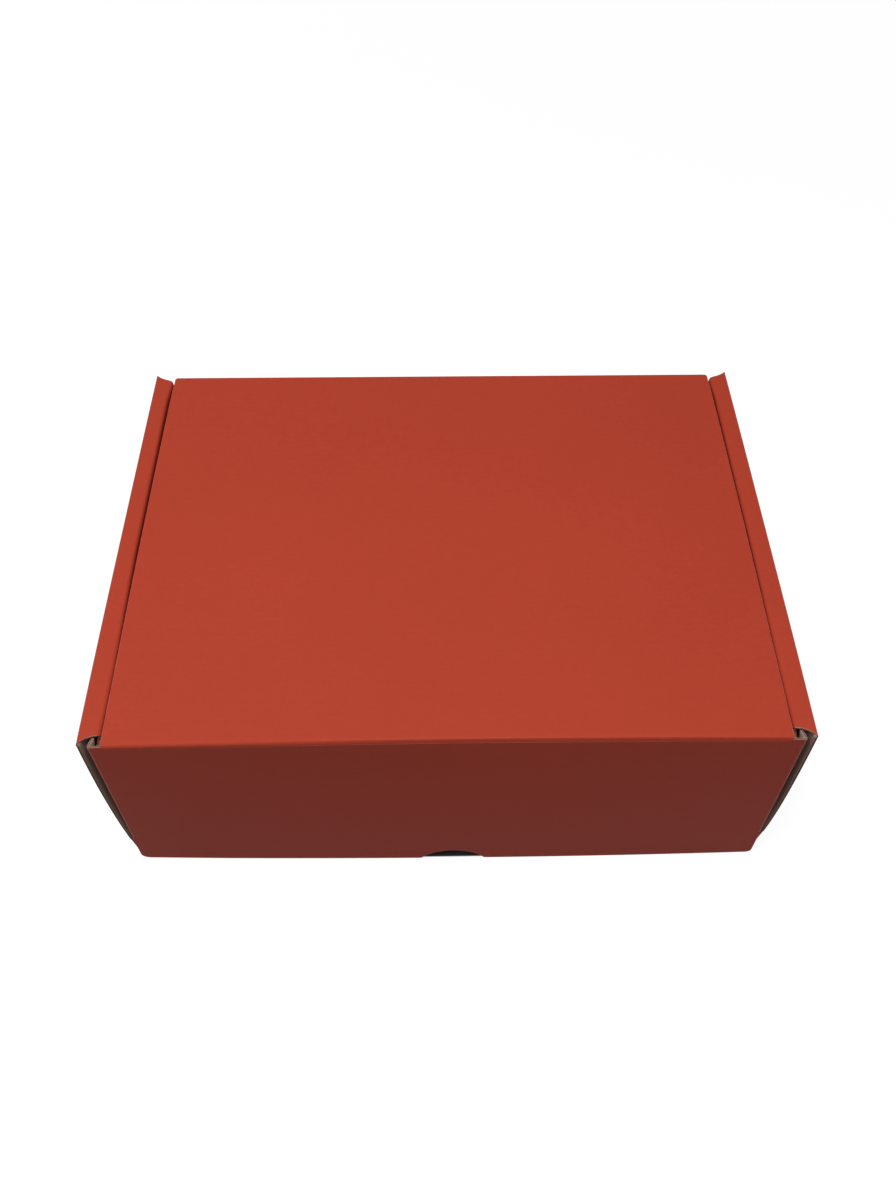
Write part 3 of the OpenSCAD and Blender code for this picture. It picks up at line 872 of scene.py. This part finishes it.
def crease_skin(name, line, start, end, shape, bodies, blend_from, blend_to, ridge, kept):
    """A strip of liner along a crease; shape gives it the place of a point of its section."""
    stock = new_stock()
    lengths, at = trace(line)

    def lay(p, q):
        return shape(p, at(q))

    patches = [(stations(0.0, lengths[-1], lengths[1:-1], SKIN_ROWS), lambda q: [(start, end)])]
    count = max(2, round((end - start) / SKIN_ROWS))
    folds = [start + (end - start) * i / count for i in range(1, count)]
    ends = [(0, start, *WHOLE), (0, end, *WHOLE), (1, 0.0, *WHOLE), (1, lengths[-1], *WHOLE)]
    sheet_of_paper(stock, patches, folds, EDGE_ROWS, lay, lambda q: SKIN_PROUD - LINER,
                   lambda q: SKIN_PROUD, (RED_FACE, KRAFT_FACE, RED_FACE), (), ends)
    middle = lengths[-1] * ridge
    stock["crease"] = [abs(q - middle) + kept for q in stock["across"]]
    stock["rim"] = [FAR] * len(stock["rim"])
    piece = finish_board(stock, name, None, [])
    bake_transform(piece)


def round_corner(a0, b0, a1, b1, ca, cb, r, start, end):
    """A crease's section: a straight lead in, the round of the crease, a straight lead out."""
    first, last = math.radians(start), math.radians(end)
    return [(a0, b0, first, 1.0)] + fold(ca, cb, r, start, end) + [(a1, b1, last, 1.0)]


lid_top, front_skin = lid_high.z, ear_low.y
front_r, front_deep = 0.0015, 0.0016
front_line = round_corner(lid_low.y + FRONT_LEADS[0], lid_top,
                          front_skin, lid_top - FRONT_LEADS[1],
                          front_skin + front_r, lid_top - front_r, front_r, 90, 180)


def shape_front(p, point):
    """Round at the left end of the crease, and pressed to a steep bevel along the rest of it."""
    y, z, facing, _ = point
    lift, push = lid_give(p, lid_low.y)
    ahead, above = max(0.0, -math.cos(facing)), max(0.0, math.sin(facing))
    if y < front_skin + front_r + NEAR and z > lid_top - front_r - NEAR:
        pressed = ramp(p, *BEVEL_SPAN)
        deep = front_deep - BEVEL_FLATTER * pressed
        tall = front_r + BEVEL_TALLER * pressed
        power = ROUND_POWER - POWER_LOSS * pressed
        ahead, above = ahead ** (2 / power), above ** (2 / power)
        y, z = front_skin + deep * (1 - ahead), lid_top - tall * (1 - above)
        turn = math.atan2(ahead ** (power - 1) / deep, above ** (power - 1) / tall)
        ahead, above = math.sin(turn), math.cos(turn)
    return Vector((p, y + push, z + lift)), Vector((0, -ahead, above))


crease_skin("lid_front_crease", front_line, -lid_edge, lid_edge, shape_front, ("lid", "front_flap"),
            (0, front_skin + front_deep, lid_top), (0, front_skin, lid_top - front_deep),
            *FRONT_RUB_AND_HIGHLIGHT)

rear_r = 0.0012
rear_line = round_corner(back_face, rim_z - REAR_LEADS[0],
                         back_face - REAR_LEADS[1], lid_top,
                         back_face - rear_r, lid_top - rear_r, rear_r, 0, 90)
crease_skin("lid_rear_crease", rear_line, LID_CORNER - lid_half, lid_half - LID_CORNER,
            lambda p, point: (Vector((p, point[0], point[1])),
                              Vector((0, math.cos(point[2]), math.sin(point[2])))),
            ("root", "lid"), (0, back_face, rim_z + REAR_BLEND), (0, back_face - rear_r, lid_top),
            *REAR_RUB_AND_HIGHLIGHT)

side_r, corner_r = 0.0006, 0.0012
side_line = round_corner(notch_half - SIDE_LEADS[0], lid_top,
                         dust_high.x, lid_top - SIDE_LEADS[1],
                         dust_high.x - side_r, lid_top - side_r, side_r, 90, 0)
for side, sign in (("left", -1), ("right", 1)):
    def shape_side(p, point, sign=sign):
        x, z, facing, _ = point
        if x > dust_high.x - side_r - NEAR and z > lid_top - side_r - NEAR:
            r = corner_r + (side_r - corner_r) * side_bow(p, rim_z, sign) / SIDE_BOW[sign > 0]
            x, z = dust_high.x - r * (1 - math.cos(facing)), lid_top - r * (1 - math.sin(facing))
        return (Vector((sign * (x + lid_bow(p)), p, z + lid_give(SIDE_GIVE_AT * x, p)[0])),
                Vector((sign * math.cos(facing), 0, math.sin(facing))))

    crease_skin(f"dust_crease_{side}", side_line, dust_low.y - SLIP, dust_high.y + SLIP, shape_side,
                ("lid", f"dust_flap_{side}"), (sign * notch_half, 0, lid_top),
                (sign * dust_high.x, 0, lid_top - SIDE_BLEND), *SIDE_RUB_AND_HIGHLIGHT)

# The stage: a white floor that keeps the box's soft shadow and has a dark shadow painted where
# the box stands, a large soft lamp overhead, and the camera where the photograph was taken from.
FLOOR_HALF = 4.0
FLOOR_GAP = 0.0003
FLOOR_GLOW = 0.82
# Width of the soft edge of the shadow painted on the floor where the box stands.
FLOOR_EDGE = 0.0006
FLOOR_NEAR, FLOOR_FAR = 0.5, 1.6
FLOOR_INSET, FLOOR_AHEAD = 0.002, 0.0004
# Floor tones: the painted shadow where the box stands, the open floor, and the floor as bounced
# light sees it.
PAINTED_SHADOW_TONE, OPEN_TONE, OTHER_TONE = 0.05, 0.36, 0.10
WORLD_GLOW = 0.12
CAMERA_AT = (-0.00560, -0.34041, 0.50161)
CAMERA_PITCH, CAMERA_YAW, CAMERA_ROLL = 52.349, 1.228, 0.416
LENS, SENSOR, NEAREST = 32.54, 36.0, 0.01
LAMP_AT, LAMP_AIM = (-0.10, -0.18, 0.86), (-0.05, -0.06, 0.1)
LAMP_SIZE, LAMP_POWER = (1.0, 0.76), 7.5


def seen_directly(tree):
    """1 for rays that see the stage itself or its reflection, 0 for light it sheds."""
    path = tree.nodes.new("ShaderNodeLightPath")
    seen = paper_sum(tree, "MAXIMUM", path.outputs["Is Camera Ray"], path.outputs["Is Glossy Ray"])
    return paper_sum(tree, "MAXIMUM", seen, path.outputs["Is Transmission Ray"])


floor_mesh = bpy.data.meshes.new("floor")
floor_corners = [(x * FLOOR_HALF, y * FLOOR_HALF, -FLOOR_GAP)
                 for x, y in ((-1, -1), (1, -1), (1, 1), (-1, 1))]
floor_mesh.from_pydata(floor_corners, [], [(0, 1, 2, 3)])
floor = bpy.data.objects.new("floor", floor_mesh)
bpy.context.scene.collection.objects.link(floor)
floor_paper = bpy.data.materials.new("white_floor")
floor_paper.use_nodes = True
tree = floor_paper.node_tree
tree.nodes.clear()
place = tree.nodes.new("ShaderNodeTexCoord").outputs["Object"]
spot = paper_node(tree, "ShaderNodeSeparateXYZ", {0: place}).outputs
beside = paper_sum(tree, "SUBTRACT", paper_sum(tree, "ABSOLUTE", spot[0], 0.0),
                   base_half - FLOOR_INSET)
arch = paper_sum(tree, "MULTIPLY", paper_sum(tree, "MULTIPLY", spot[0], spot[0]),
                 FLAP_BOW / flat_half ** 2)
before = paper_sum(tree, "SUBTRACT", paper_sum(tree, "ABSOLUTE", spot[1], 0.0),
                   -front_face + FLOOR_AHEAD + FLAP_BOW)
before = paper_sum(tree, "ADD", before, arch)
away = paper_node(tree, "ShaderNodeVectorMath", {0: place}, operation="LENGTH").outputs["Value"]
open_glow = paper_range(tree, away, FLOOR_NEAR, FLOOR_FAR, FLOOR_GLOW, 1.0)
outside = paper_sum(tree, "MAXIMUM", beside, before)
# Painted shadow: under the box and in the gap before the front wall, out to the flap's bowed foot,
# the floor neither glows nor is pale, so it shows dark there and through the thumb notch.
under = paper_range(tree, outside, 0.0, FLOOR_EDGE, 0.0, open_glow)
tone = paper_range(tree, under, 0.0, FLOOR_GLOW, PAINTED_SHADOW_TONE, OPEN_TONE)
lit = paper_node(tree, "ShaderNodeBsdfDiffuse", {"Color": tone}).outputs[0]
glow = paper_node(tree, "ShaderNodeEmission", {"Color": (1, 1, 1, 1), "Strength": under}).outputs[0]
white = paper_node(tree, "ShaderNodeAddShader", {0: lit, 1: glow}).outputs[0]
grey = paper_node(tree, "ShaderNodeBsdfDiffuse", {"Color": (*[OTHER_TONE] * 3, 1)}).outputs[0]
mixed = paper_node(tree, "ShaderNodeMixShader",
                   {0: seen_directly(tree), 1: grey, 2: white}).outputs[0]
paper_node(tree, "ShaderNodeOutputMaterial", {"Surface": mixed})
floor_mesh.materials.append(floor_paper)

world = bpy.data.worlds.new("studio")
bpy.context.scene.world = world
world.use_nodes = True
tree = world.node_tree
tree.nodes.clear()
soft, plain = (paper_node(tree, "ShaderNodeBackground",
                          {"Color": (1, 1, 1, 1), "Strength": strength}).outputs[0]
               for strength in (WORLD_GLOW, 1.0))
mixed = paper_node(tree, "ShaderNodeMixShader",
                   {0: seen_directly(tree), 1: soft, 2: plain}).outputs[0]
paper_node(tree, "ShaderNodeOutputWorld", {"Surface": mixed})

lamp = bpy.data.lights.new("overhead", "AREA")
lamp.shape = "RECTANGLE"
lamp.size, lamp.size_y = LAMP_SIZE
lamp.energy = LAMP_POWER
holder = bpy.data.objects.new("overhead", lamp)
bpy.context.scene.collection.objects.link(holder)
holder.location = LAMP_AT
holder.rotation_mode = "QUATERNION"
holder.rotation_quaternion = (Vector(LAMP_AIM) - Vector(LAMP_AT)).to_track_quat("-Z", "Y")

camera = bpy.data.objects.new("camera", bpy.data.cameras.new("camera"))
bpy.context.scene.collection.objects.link(camera)
pitch, yaw, roll = (math.radians(a) for a in (CAMERA_PITCH, CAMERA_YAW, CAMERA_ROLL))
ahead = Vector((math.sin(yaw) * math.cos(pitch), math.cos(yaw) * math.cos(pitch), -math.sin(pitch)))
level = Vector((math.cos(yaw), -math.sin(yaw), 0))
upright = level.cross(ahead)
right = level * math.cos(roll) + upright * math.sin(roll)
up = upright * math.cos(roll) - level * math.sin(roll)
turned = Matrix((right, up, -ahead)).transposed().to_4x4()
camera.matrix_world = Matrix.Translation(CAMERA_AT) @ turned
camera.data.lens = LENS
camera.data.sensor_width = SENSOR
camera.data.clip_start = NEAREST
bpy.context.scene.camera = camera
bpy.context.scene.view_settings.view_transform = "Standard"
